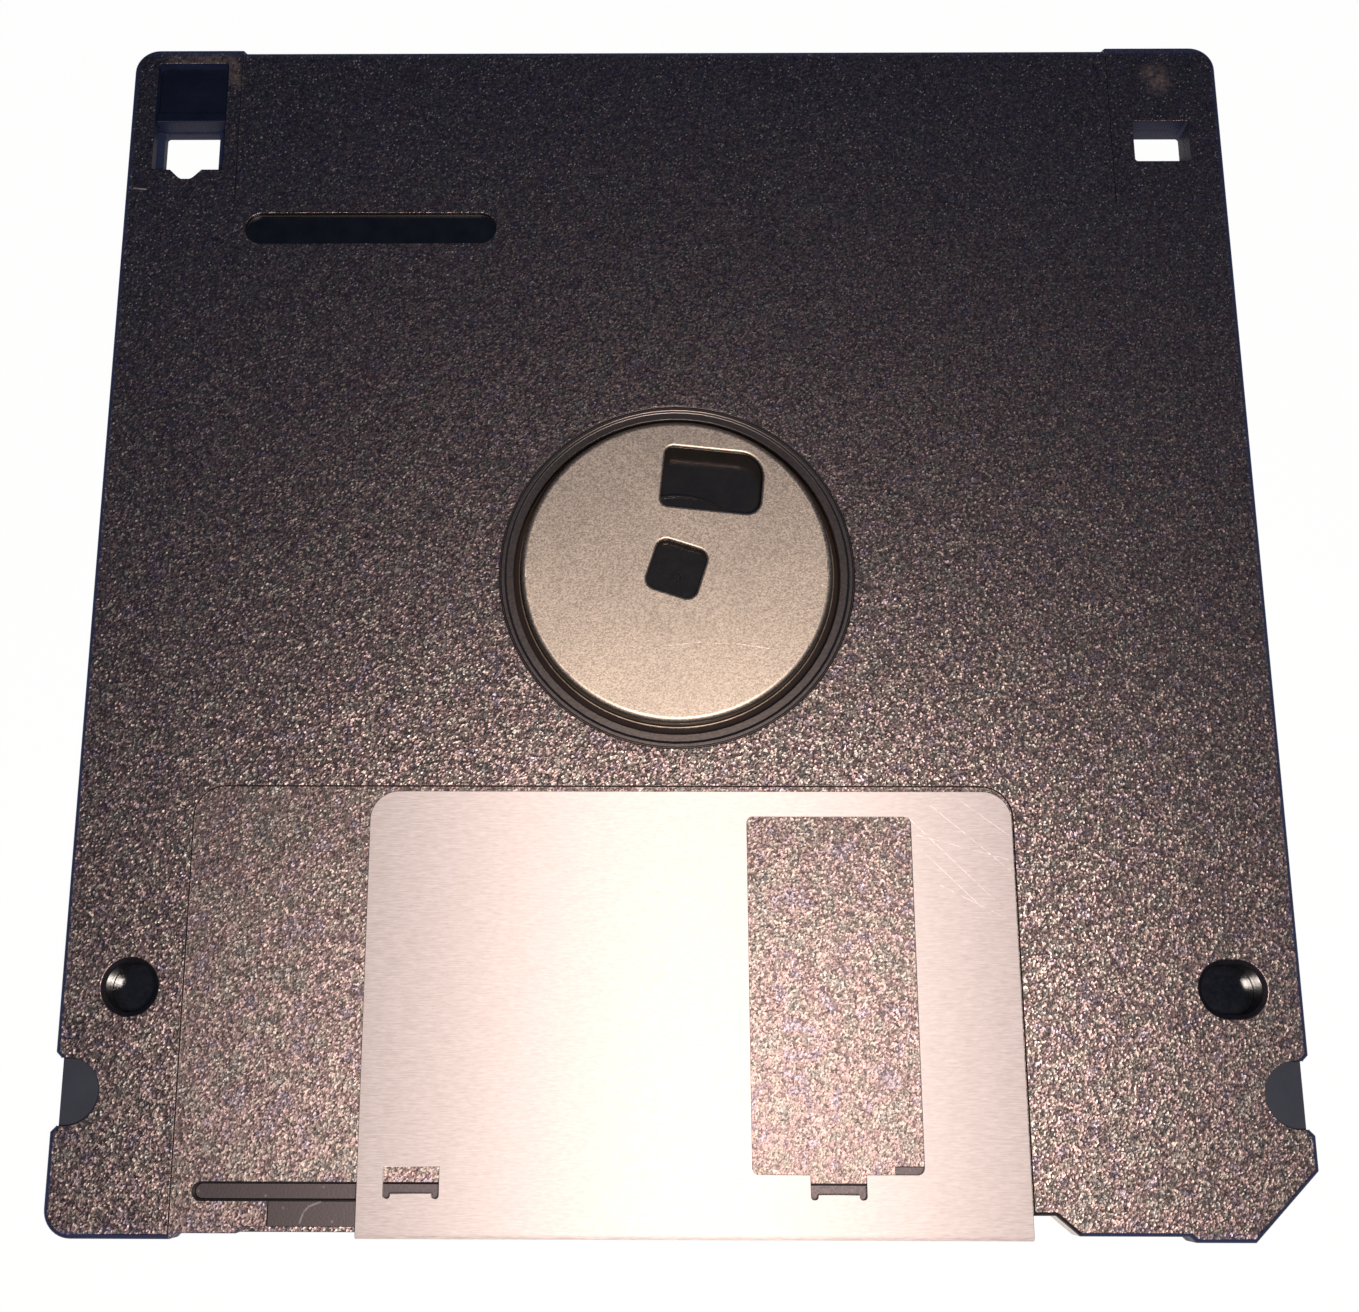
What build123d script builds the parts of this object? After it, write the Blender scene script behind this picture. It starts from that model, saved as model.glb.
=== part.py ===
from build123d import *
from math import acos, atan2, cos, degrees, hypot, radians, sin, tan
import os

# A 3.5 inch floppy disk cartridge that lies on its label face, hub side up.
# Lengths are millimetres. The origin is on the table under the middle of the
# case. The shutter edge faces -Y, the label edge +Y, and Z runs through the
# thickness, from the front shell at the bottom to the rear shell at the top.

# Case as a whole
case_width = 90.0
case_length = 94.0
case_thickness = 3.3
parting_height = 1.65
plate_thickness = 1.05
rim_thickness = 1.3
nose_thickness = 4.7
side_wall = 1.4
edge_round = 0.35
corner_radius = 2.0
corner_cut = 4.8
step_angle = 45.0

# Steps in the outline: the label wraps over one edge, the shutter over the other
label_width = 72.0
trailing_step = 0.3
leading_step = 0.4
grip_step = 0.4

# Finger of the drive that pushes the shutter enters this notch
lever_notch_depth = 1.75
lever_notch_reach = 1.6
lever_notch_slack = 0.4
lever_notch_angle = 40.0

# The rear shell's leading edge stands back further, left of the lever notch
nose_setback = 0.85
nose_setback_left = 13.2
nose_setback_angle = 40.0

# Label recesses
rear_label_length = 13.9
rear_label_depth = 0.2
front_label_length = 53.0
front_label_depth = 0.3

# Disc, hub and their place in the case
hub_setback = 48.5
disc_thickness = 0.08
disc_edge_gap = 0.7
hub_play = 0.5
float_share = 0.9
chamber_wall = 1.2
hub_radius = 12.08
hub_sheet = 0.3
hub_flange_width = 2.45
hub_face_drop = 0.3
hub_bend = 0.15
hub_hole_edge_round = 0.22
adhesive_thickness = 0.06
adhesive_inset = 0.2
disc_hole_gap = 0.05
hub_ledge_width = 0.57
hub_ledge_depth = 0.14
hub_rim_width = 0.28
witness_line_width = 0.12
witness_line_depth = 0.06

# Holes in the hub that the drive's spindle takes hold of
spindle_square = 4.05
spindle_square_round = 0.8
spindle_square_turn = -18.0
drive_slot_width = 7.8
drive_slot_height = 4.9
drive_slot_right = 2.85
drive_slot_up = 7.2
drive_slot_turn = -6.0
drive_slot_rounds = (0.65, 1.9, 1.1, 0.65)

# Boss of the front shell inside the hub
boss_radius = 6.65
boss_rim_width = 0.2
boss_rim_height = 0.1
boss_gap = 0.5
boss_mark_radius = 0.3
boss_mark_depth = 0.15

# Head windows through both shells
head_window_width = 9.0
head_window_start = 5.2
head_window_length = 23.79
head_window_round = 0.8

# Liners and the strip that lifts one of them against the disc
liner_thickness = 0.3
liner_hub_gap = 1.0
liner_edge_gap = 0.3
liner_slot_margin = 0.3
lifter_width = 6.0
lifter_thickness = 0.15
lifter_left = 13.0
lifter_start = 15.0
lifter_edge_gap = 6.6
lifter_gap = 0.1
lifter_floor_gap = 0.03

# Locating holes
locating_setback = 17.3
locating_side = 5.0
locating_radius = 1.8
locating_slot_width = 4.4
locating_mouth = 0.32
locating_floor = 0.85
locating_boss_radius = 3.1

# Grip notches in the sides
grip_setback = 9.95
grip_radius = 2.35
grip_middle = 1.0
grip_depth = 0.85
grip_step_width = 5.5
grip_side_wall = 1.05
grip_end_wall = 1.0

# Write-protect pocket, its hole and its sliding tab
pocket_left = 2.0
pocket_width = 5.86
pocket_end_wall = 1.33
pocket_length = 9.77
pocket_round = 0.3
protect_hole_inset = 0.4
protect_hole_width = 4.6
protect_hole_length = 4.4
protect_notch_left = 4.84
protect_notch_width = 2.6
protect_notch_depth = 0.87
protect_notch_round = 0.9
tab_length = 5.2
tab_gap = 0.07
tab_rail_width = 0.7
tab_rail_height = 0.75
tab_floor_gap = 0.05
tab_dish_drop = 0.95
tab_lip_drop = 0.25
tab_lip_length = 0.85
tab_edge_round = 0.1

# Density hole on the other side
density_right = 2.62
density_back = 6.85
density_width = 4.58
density_length = 3.65
through_hole_round = 0.25
block_wall = 1.2

# Long blind slot under the label recess
long_slot_left = 10.06
long_slot_back = 16.4
long_slot_length = 20.44
long_slot_width = 2.69
long_slot_depth = 0.5

# Shutter: a sheet folded round the leading edge
shutter_left_edge = 22.06
shutter_right_bridge = 7.5
shutter_end_bridge = 1.85
shutter_sheet = 0.2
shutter_edge_gap = 0.05
shutter_face_gap = 0.05
shutter_corner_radius = 2.1
shutter_fold_radius = 0.2
shutter_window_round = 0.5
shutter_closed_lap = 0.56
shutter_window_left_gap = 3.04
shutter_window_right_gap = 0.1
shutter_window_end_gap = 0.76

# Tabs of the shutter that ride in the guide groove
guide_tab_left = 2.38
guide_tab_width = 2.94
guide_tab_depth = 0.65
guide_tab_setback = 2.9
relief_width = 0.5
relief_length = 0.35
tab_slot_length = 1.8

# Spring hook of the shutter
hook_left = 0.45
hook_width = 1.6
hook_length = 5.2
hook_side_gap = 0.3
hook_height = 1.42
hook_slot_height = 0.5

# Recess of the shutter and what is let into its floor
shutter_recess_depth = 0.3
shutter_recess_end_gap = 0.4
shutter_recess_left_gap = 0.58
shutter_recess_side_gap = 0.1
shutter_recess_round = 2.3
groove_start = 2.58
groove_width = 1.26
groove_depth = 0.75
groove_bevel = 0.1
groove_end_gap = 1.45
loading_pocket_gap = 2.6
loading_pocket_width = 3.3
loading_pocket_reach = 1.16
loading_pocket_depth = 0.35
smooth_patch_left = 15.8
smooth_patch_depth = 0.12

# Torsion spring that pulls the shutter shut
wire_diameter = 0.38
spring_radius = 2.2
spring_pitch = 0.4
spring_coil_right = 12.6
spring_coil_up = 10.4
spring_seat_up = 5.6
spring_tip_up = 5.25
spring_tip_gap = 0.05

# Pins that join the shells
pin_radius = 0.8
pin_length = 0.9
pin_gap = 0.05
pin_boss_radius = 1.6
pin_trailing_side = 12.0
pin_trailing_back = 3.5
pin_side_edge = 3.2
pin_past_locating = 4.7

# Arrow on the label face that points towards the drive
arrow_side = 4.4
arrow_length = 4.2
arrow_width = 3.2
arrow_back = 13.0
arrow_depth = 0.2

# Places worked out from the sizes above
left = -case_width / 2
right = case_width / 2
lead = -case_length / 2
trail = case_length / 2
front_inside = plate_thickness
rear_inside = case_thickness - plate_thickness
hub_y = lead + hub_setback
disc_y = hub_y + float_share * hub_play
chamber_to_side = right - side_wall
chamber_to_nose = hub_setback - nose_thickness
chamber_to_trail = case_length - hub_setback - side_wall
chamber_radius = min(chamber_to_side, chamber_to_nose, chamber_to_trail)
disc_radius = chamber_radius - disc_edge_gap
hub_flange_radius = hub_radius + hub_flange_width
liner_inner_radius = hub_flange_radius + liner_hub_gap
hub_opening_radius = hub_radius + hub_play
hub_ledge_radius = hub_opening_radius + hub_ledge_width + hub_ledge_depth
hub_rim_radius = hub_ledge_radius + hub_rim_width
disc_bottom = parting_height - disc_thickness / 2
flange_top = disc_bottom - adhesive_thickness
hub_face = case_thickness - hub_face_drop
locating_y = lead + locating_setback
locating_x = right - locating_side
grip_y = lead + grip_setback
grip_block_width = grip_middle + grip_radius + grip_side_wall
grip_block_length = grip_setback + grip_radius + grip_end_wall
shutter_window_width = head_window_width + shutter_window_left_gap + shutter_window_right_gap
shutter_window_start = head_window_start - shutter_window_end_gap
shutter_window_length = head_window_length + 2 * shutter_window_end_gap
shutter_window_left = head_window_width / 2 + shutter_closed_lap
shutter_window_right = shutter_window_left + shutter_window_width
shutter_travel = shutter_window_right - head_window_width / 2 - shutter_window_right_gap
shutter_length = shutter_window_start + shutter_window_length + shutter_end_bridge
shutter_left = left + shutter_left_edge
shutter_right = shutter_window_right + shutter_right_bridge
shutter_width = shutter_right - shutter_left
shutter_nose = lead + shutter_edge_gap
shutter_floor = case_thickness - shutter_recess_depth
recess_length = shutter_length + shutter_recess_end_gap
recess_left = shutter_left - shutter_travel - shutter_recess_left_gap
recess_right = shutter_right + shutter_recess_side_gap
pocket_x = left + pocket_left + pocket_width / 2
pocket_top = trail - pocket_end_wall
pocket_y = pocket_top - pocket_length / 2
pocket_bottom = pocket_top - pocket_length
protect_hole_x = left + pocket_left + protect_hole_inset + protect_hole_width / 2
density_x = right - density_right - density_width / 2
density_y = trail - density_back - density_length / 2
guide_tab_x = shutter_left + guide_tab_left + guide_tab_width / 2
window_tab_x = shutter_window_right - shutter_window_width / 2
hook_x = shutter_left + hook_left + hook_width / 2
lever_right = shutter_right + lever_notch_reach
lever_left = shutter_right - shutter_travel - lever_notch_slack


# Plan of both shells, before the rear shell's own setback
def case_plan():
    with BuildSketch() as plan:
        Rectangle(case_width, case_length)
        cut_corner = plan.vertices().sort_by(Axis.X)[-2:].sort_by(Axis.Y)[0]
        others = [vertex for vertex in plan.vertices() if vertex != cut_corner]
        fillet(others, corner_radius)
        cut_corner = plan.vertices().sort_by_distance((right, lead))[0]
        chamfer(cut_corner, corner_cut)
        mouth = (Align.CENTER, Align.MIN)
        cut = Mode.SUBTRACT
        with Locations((0, trail)):
            Trapezoid(label_width, trailing_step, step_angle, rotation=180, align=mouth, mode=cut)
        with Locations((0, lead)):
            Trapezoid(label_width, leading_step, step_angle, align=mouth, mode=cut)
        with Locations((left, grip_y)):
            Trapezoid(grip_step_width, grip_step, step_angle, rotation=-90, align=mouth, mode=cut)
        with Locations((right, grip_y)):
            Trapezoid(grip_step_width, grip_step, step_angle, rotation=90, align=mouth, mode=cut)
        slant = lever_notch_depth / tan(radians(lever_notch_angle))
        notch_width = lever_right - lever_left + 2 * slant
        with Locations(((lever_left + lever_right) / 2, lead)):
            Trapezoid(notch_width, lever_notch_depth, lever_notch_angle, align=mouth, mode=cut)
    return plan.sketch


# Hollows beside the disc chamber, which leave bosses, blocks and walls standing
def corner_hollows():
    with BuildSketch() as hollows:
        low = lead + nose_thickness
        high = trail - trailing_step - rim_thickness
        with Locations((0, (low + high) / 2)):
            Rectangle(case_width - 2 * rim_thickness, high - low)
        cut = Mode.SUBTRACT
        with Locations((0, hub_y)):
            Circle(chamber_radius + chamber_wall, mode=cut)
        with Locations((left, lead), (right - grip_block_width, lead)):
            Rectangle(grip_block_width, grip_block_length, align=Align.MIN, mode=cut)
        pocket_block = pocket_left + pocket_width + 2 * block_wall
        with Locations((left, pocket_bottom - block_wall)):
            Rectangle(pocket_block, pocket_length + 2 * block_wall, align=Align.MIN, mode=cut)
        density_block = density_right + density_width + block_wall
        density_low = density_y - density_length / 2 - block_wall
        with Locations((right - density_block, density_low)):
            Rectangle(density_block, trail - density_low, align=Align.MIN, mode=cut)
        with Locations((-locating_x, locating_y), (locating_x, locating_y)):
            Circle(locating_boss_radius, mode=cut)
        with Locations(*pin_places):
            Circle(pin_boss_radius, mode=cut)
    return hollows.sketch


# Window that the heads reach the disc through
def head_window():
    with BuildSketch() as window:
        with Locations((0, lead + head_window_start + head_window_length / 2)):
            RectangleRounded(head_window_width, head_window_length, head_window_round)
    return window.sketch


# Area that the shutter slides over
def shutter_recess():
    with BuildSketch() as recess:
        with Locations(((recess_left + recess_right) / 2, lead)):
            Rectangle(
                recess_right - recess_left,
                recess_length,
                align=(Align.CENTER, Align.MIN),
            )
        fillet(recess.vertices().group_by(Axis.Y)[-1], shutter_recess_round)
    return recess.sketch


# Cavity in which the rails of the write-protect tab run
def tab_cavity():
    with BuildSketch() as cavity:
        with Locations((pocket_x, pocket_y)):
            Rectangle(pocket_width + 2 * (tab_rail_width + tab_gap), pocket_length)
    return cavity.sketch


# Square density hole
def density_hole():
    with BuildSketch() as hole:
        with Locations((density_x, density_y)):
            RectangleRounded(density_width, density_length, through_hole_round)
    return hole.sketch


# Round locating hole at the left and its slotted partner at the right
def locating_holes(clearance):
    with BuildSketch() as holes:
        with Locations((-locating_x, locating_y)):
            Circle(locating_radius + clearance)
        with Locations((locating_x, locating_y)):
            SlotOverall(locating_slot_width + 2 * clearance, 2 * (locating_radius + clearance))
    return holes.sketch


# Ring with the radial slot that both liners have
def liner_plan():
    with BuildSketch() as ring:
        with Locations((0, hub_y)):
            Circle(chamber_radius - liner_edge_gap)
            Circle(liner_inner_radius, mode=Mode.SUBTRACT)
        with Locations((0, hub_y)):
            Rectangle(
                head_window_width + 2 * liner_slot_margin,
                chamber_radius,
                align=(Align.CENTER, Align.MAX),
                mode=Mode.SUBTRACT,
            )
    return ring.sketch


pin_places = [
    (left + pin_trailing_side, trail - pin_trailing_back),
    (right - pin_trailing_side, trail - pin_trailing_back),
    (left + pin_side_edge, locating_y + pin_past_locating),
    (right - pin_side_edge, locating_y + pin_past_locating),
]

# Rear shell, the upper half of the case, with the hub opening
with BuildPart() as rear_shell:
    with BuildSketch(Plane.XY.offset(parting_height)) as rear_plan:
        add(case_plan())
        setback_width = lever_left - left - nose_setback_left
        with Locations(((left + nose_setback_left + lever_left) / 2, lead)):
            Trapezoid(
                setback_width,
                nose_setback,
                nose_setback_angle,
                90,
                align=(Align.CENTER, Align.MIN),
                mode=Mode.SUBTRACT,
            )
    extrude(amount=case_thickness - parting_height)
    outer_face = rear_shell.faces().sort_by(Axis.Z)[-1]
    fillet(outer_face.outer_wire().edges(), edge_round)

    # Disc chamber and corner hollows
    with BuildSketch(Plane.XY.offset(parting_height)):
        with Locations((0, hub_y)):
            Circle(chamber_radius)
        add(corner_hollows())
    extrude(amount=rear_inside - parting_height, mode=Mode.SUBTRACT)

    # Hub opening, with a smooth ledge round it that a bevelled step leads down to
    with BuildSketch(Plane.XY.offset(rear_inside)):
        with Locations((0, hub_y)):
            Circle(hub_opening_radius)
    extrude(amount=plate_thickness, mode=Mode.SUBTRACT)
    with BuildSketch(Plane.XY.offset(case_thickness)):
        with Locations((0, hub_y)):
            Circle(hub_ledge_radius)
    extrude(amount=-hub_ledge_depth, taper=step_angle, mode=Mode.SUBTRACT)

    # Smooth rim round the ledge, which a fine witness line parts from the grained face
    with BuildSketch(Plane.XY.offset(case_thickness)):
        with Locations((0, hub_y)):
            Circle(hub_rim_radius + witness_line_width)
            Circle(hub_rim_radius, mode=Mode.SUBTRACT)
    extrude(amount=-witness_line_depth, mode=Mode.SUBTRACT)

    # Head window and shutter recess
    with BuildSketch(Plane.XY.offset(rear_inside)):
        add(head_window())
    extrude(amount=plate_thickness, mode=Mode.SUBTRACT)
    with BuildSketch(Plane.XY.offset(shutter_floor)):
        add(shutter_recess())
    extrude(amount=shutter_recess_depth, mode=Mode.SUBTRACT)

    # Guide groove with sloping sides, and the pocket where its tabs drop in
    groove_left = guide_tab_x - guide_tab_width / 2 - shutter_travel - groove_end_gap
    loading_left = window_tab_x + guide_tab_width / 2 + loading_pocket_gap
    groove_right = loading_left + loading_pocket_width
    groove_x = (groove_left + groove_right) / 2
    groove_y = lead + groove_start + groove_width / 2
    groove_length = groove_right - groove_left
    with BuildSketch(Plane.XY.offset(shutter_floor)):
        with Locations((groove_x, groove_y)):
            SlotOverall(groove_length, groove_width)
    with BuildSketch(Plane.XY.offset(shutter_floor - groove_depth)):
        with Locations((groove_x, groove_y)):
            SlotOverall(groove_length - 2 * groove_bevel, groove_width - 2 * groove_bevel)
    loft(mode=Mode.SUBTRACT)
    with BuildSketch(Plane.XY.offset(shutter_floor - loading_pocket_depth)):
        with Locations((loading_left, groove_y)):
            Rectangle(
                loading_pocket_width,
                groove_width / 2 + loading_pocket_reach,
                align=Align.MIN,
            )
    extrude(amount=loading_pocket_depth, mode=Mode.SUBTRACT)

    # Smooth patch between the groove and the leading edge
    patch_left = left + smooth_patch_left
    with BuildSketch(Plane.XY.offset(shutter_floor - smooth_patch_depth)):
        with Locations((patch_left, lead)):
            Rectangle(lever_left - patch_left, groove_start, align=Align.MIN)
    extrude(amount=smooth_patch_depth, mode=Mode.SUBTRACT)

    # Write-protect pocket with its thumb notch, and the cavity for the tab's rails
    with BuildSketch(Plane.XY.offset(parting_height)):
        with Locations((pocket_x, pocket_y)):
            RectangleRounded(pocket_width, pocket_length, pocket_round)
        with BuildSketch(mode=Mode.PRIVATE) as notch:
            with Locations((left + protect_notch_left, pocket_bottom)):
                Trapezoid(
                    protect_notch_width,
                    protect_notch_depth,
                    step_angle,
                    rotation=180,
                    align=(Align.CENTER, Align.MIN),
                )
            fillet(notch.vertices().group_by(Axis.Y)[0], protect_notch_round)
        add(notch.sketch)
    extrude(amount=case_thickness - parting_height, mode=Mode.SUBTRACT)
    tab_rail_top = front_inside + tab_floor_gap + tab_rail_height
    with BuildSketch(Plane.XY.offset(parting_height)):
        add(tab_cavity())
    extrude(amount=tab_rail_top + tab_gap - parting_height, mode=Mode.SUBTRACT)

    # Density hole
    with BuildSketch(Plane.XY.offset(parting_height)):
        add(density_hole())
    extrude(amount=case_thickness - parting_height, mode=Mode.SUBTRACT)

    # Locating holes with their flared mouths
    with BuildSketch(Plane.XY.offset(parting_height)):
        add(locating_holes(0))
    extrude(amount=case_thickness - parting_height, mode=Mode.SUBTRACT)
    with BuildSketch(Plane.XY.offset(case_thickness)):
        add(locating_holes(locating_mouth))
    extrude(amount=-locating_mouth, taper=step_angle, mode=Mode.SUBTRACT)

    # Grip notches
    with BuildSketch(Plane.XY.offset(case_thickness - grip_depth)):
        for edge, inward in ((left, 1), (right, -1)):
            with Locations((edge + inward * grip_middle, grip_y)):
                Circle(grip_radius)
            with Locations((edge, grip_y)):
                Rectangle(2 * grip_middle, 2 * grip_radius)
    extrude(amount=grip_depth, mode=Mode.SUBTRACT)

    # Label recess, which runs out over the trailing edge
    with BuildSketch(Plane.XY.offset(case_thickness - rear_label_depth)):
        with Locations((0, trail - trailing_step)):
            Rectangle(label_width, rear_label_length, align=(Align.CENTER, Align.MAX))
    extrude(amount=rear_label_depth, mode=Mode.SUBTRACT)

    # Long blind slot
    with BuildSketch(Plane.XY.offset(case_thickness - long_slot_depth)):
        with Locations((left + long_slot_left + long_slot_length / 2, trail - long_slot_back)):
            SlotOverall(long_slot_length, long_slot_width)
    extrude(amount=long_slot_depth, mode=Mode.SUBTRACT)

    # Pins that the front shell is welded to
    with BuildSketch(Plane.XY.offset(parting_height - pin_length)):
        with Locations(*pin_places):
            Circle(pin_radius)
    extrude(amount=pin_length)

rear_shell.part.label = "rear_shell"

# Front shell, the lower half of the case, with the label face on the table
with BuildPart() as front_shell:
    with BuildSketch(Plane.XY):
        add(case_plan())
    extrude(amount=parting_height)
    label_face = front_shell.faces().sort_by(Axis.Z)[0]
    fillet(label_face.outer_wire().edges(), edge_round)

    # Disc chamber and corner hollows
    with BuildSketch(Plane.XY.offset(front_inside)):
        with Locations((0, hub_y)):
            Circle(chamber_radius)
        add(corner_hollows())
    extrude(amount=parting_height - front_inside, mode=Mode.SUBTRACT)

    # Central boss inside the hub, with a fine raised rim and a small moulding mark
    boss_top = hub_face - hub_sheet - boss_gap
    with BuildSketch(Plane.XY.offset(front_inside)):
        with Locations((0, hub_y)):
            Circle(boss_radius)
    extrude(amount=boss_top - front_inside)
    with BuildSketch(Plane.XY.offset(boss_top)):
        with Locations((0, hub_y)):
            Circle(boss_radius)
            Circle(boss_radius - boss_rim_width, mode=Mode.SUBTRACT)
    extrude(amount=boss_rim_height)
    with BuildSketch(Plane.XY.offset(boss_top - boss_mark_depth)):
        with Locations((0, hub_y)):
            Circle(boss_mark_radius)
    extrude(amount=boss_mark_depth, mode=Mode.SUBTRACT)

    # Head window, shutter recess and label recess
    with BuildSketch(Plane.XY):
        add(head_window())
    extrude(amount=plate_thickness, mode=Mode.SUBTRACT)
    with BuildSketch(Plane.XY):
        add(shutter_recess())
    extrude(amount=shutter_recess_depth, mode=Mode.SUBTRACT)
    with BuildSketch(Plane.XY):
        with Locations((0, trail - trailing_step)):
            Rectangle(label_width, front_label_length, align=(Align.CENTER, Align.MAX))
    extrude(amount=front_label_depth, mode=Mode.SUBTRACT)

    # Bed of the liner lifter
    lifter_x = -lifter_left
    lifter_end = chamber_radius - lifter_edge_gap
    lifter_length = lifter_end - lifter_start
    lifter_y = hub_y - (lifter_start + lifter_end) / 2
    with BuildSketch(Plane.XY.offset(front_inside - lifter_thickness - lifter_floor_gap)):
        with Locations((lifter_x, lifter_y)):
            Rectangle(lifter_width + 2 * lifter_gap, lifter_length + 2 * lifter_gap)
    extrude(amount=lifter_thickness + lifter_floor_gap, mode=Mode.SUBTRACT)

    # Write-protect hole and the cavity for the tab's rails
    with BuildSketch(Plane.XY.offset(front_inside)):
        add(tab_cavity())
    extrude(amount=parting_height - front_inside, mode=Mode.SUBTRACT)
    with BuildSketch(Plane.XY):
        with Locations((protect_hole_x, pocket_bottom + protect_hole_length / 2)):
            RectangleRounded(protect_hole_width, protect_hole_length, through_hole_round)
    extrude(amount=parting_height, mode=Mode.SUBTRACT)

    # Density hole
    with BuildSketch(Plane.XY):
        add(density_hole())
    extrude(amount=parting_height, mode=Mode.SUBTRACT)

    # Blind ends of the locating holes
    with BuildSketch(Plane.XY.offset(locating_floor)):
        add(locating_holes(0))
    extrude(amount=parting_height - locating_floor, mode=Mode.SUBTRACT)

    # Slot in the leading edge that the shutter's spring hook travels along
    hook_path_left = hook_x - hook_width / 2 - shutter_travel - hook_side_gap
    hook_path_right = hook_x + hook_width / 2 + hook_side_gap
    with BuildSketch(Plane.XY.offset(parting_height - hook_slot_height)):
        with Locations((hook_path_left, lead)):
            Rectangle(hook_path_right - hook_path_left, nose_thickness, align=Align.MIN)
    extrude(amount=hook_slot_height, mode=Mode.SUBTRACT)

    # Sockets for the pins of the rear shell
    with BuildSketch(Plane.XY.offset(parting_height - pin_length - pin_gap)):
        with Locations(*pin_places):
            Circle(pin_radius + pin_gap)
    extrude(amount=pin_length + pin_gap, mode=Mode.SUBTRACT)

    # Arrow that shows which edge goes into the drive first
    with BuildSketch(Plane.XY):
        with Locations((left + arrow_side, trail - arrow_back)):
            Polygon(
                (-arrow_width / 2, arrow_length / 2),
                (arrow_width / 2, arrow_length / 2),
                (0, -arrow_length / 2),
            )
    extrude(amount=arrow_depth, mode=Mode.SUBTRACT)

front_shell.part.label = "front_shell"

# Fabric liners, glued to the inside of the shells
with BuildPart() as rear_liner:
    with BuildSketch(Plane.XY.offset(rear_inside - liner_thickness)):
        add(liner_plan())
    extrude(amount=liner_thickness)

rear_liner.part.label = "rear_liner"

with BuildPart() as front_liner:
    with BuildSketch(Plane.XY.offset(front_inside)):
        add(liner_plan())
    extrude(amount=liner_thickness)

front_liner.part.label = "front_liner"

# Plastic strip under the front liner, which presses it up against the disc
with BuildPart() as liner_lifter:
    with BuildSketch(Plane.XY.offset(front_inside - lifter_thickness)):
        with Locations((lifter_x, lifter_y)):
            RectangleRounded(lifter_width, lifter_length, lifter_gap)
    extrude(amount=lifter_thickness)

liner_lifter.part.label = "liner_lifter"

# Magnetic disc, a coated polyester film
disc_hole_radius = hub_radius + hub_bend + disc_hole_gap
with BuildPart() as magnetic_disc:
    with BuildSketch(Plane.XY.offset(disc_bottom)):
        with Locations((0, disc_y)):
            Circle(disc_radius)
            Circle(disc_hole_radius, mode=Mode.SUBTRACT)
    extrude(amount=disc_thickness)

magnetic_disc.part.label = "magnetic_disc"

# Adhesive ring between the hub's flange and the disc above it
with BuildPart() as hub_adhesive_ring:
    with BuildSketch(Plane.XY.offset(flange_top)):
        with Locations((0, disc_y)):
            Circle(hub_flange_radius - adhesive_inset)
            Circle(disc_hole_radius + adhesive_inset, mode=Mode.SUBTRACT)
    extrude(amount=adhesive_thickness)

hub_adhesive_ring.part.label = "hub_adhesive_ring"

# Outline of the slot for the drive pin, with its four corners from the upper left clockwise
def drive_slot():
    half_width = drive_slot_width / 2
    half_height = drive_slot_height / 2
    corners = (
        (-half_width, half_height),
        (half_width, half_height),
        (half_width, -half_height),
        (-half_width, -half_height),
    )
    with BuildSketch() as outline:
        Rectangle(drive_slot_width, drive_slot_height)
        for corner, corner_round in zip(corners, drive_slot_rounds):
            fillet(outline.vertices().sort_by_distance(corner)[0], corner_round)
    return outline.sketch.rotate(Axis.Z, drive_slot_turn)


# Hub, pressed from steel sheet
with BuildPart() as hub:
    hub_inside = hub_radius - hub_sheet
    flange_bottom = flange_top - hub_sheet
    outer_bend = hub_bend + hub_sheet
    with BuildSketch(Plane.XZ.offset(-disc_y)):
        with BuildLine():
            FilletPolyline(
                (0, hub_face),
                (hub_radius, hub_face),
                (hub_radius, flange_top),
                (hub_flange_radius, flange_top),
                (hub_flange_radius, flange_bottom),
                (hub_inside, flange_bottom),
                (hub_inside, hub_face - hub_sheet),
                (0, hub_face - hub_sheet),
                radius=(outer_bend, hub_bend, 0, 0, outer_bend, hub_bend),
            )
            Line((0, hub_face - hub_sheet), (0, hub_face))
        make_face()
    revolve(axis=Axis((0, disc_y, 0), (0, 0, 1)))

    # Square hole for the spindle and slot for the drive pin
    with BuildSketch(Plane.XY.offset(hub_face - hub_sheet)):
        with Locations((0, disc_y)):
            RectangleRounded(
                spindle_square,
                spindle_square,
                spindle_square_round,
                rotation=spindle_square_turn,
            )
        with Locations((drive_slot_right, disc_y + drive_slot_up)):
            add(drive_slot())
    extrude(amount=hub_sheet, mode=Mode.SUBTRACT)
    hub_top = hub.faces().filter_by(Plane.XY).sort_by(Axis.Z)[-1]
    fillet(hub_top.inner_wires().edges(), hub_hole_edge_round)

hub.part.label = "hub"

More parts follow.
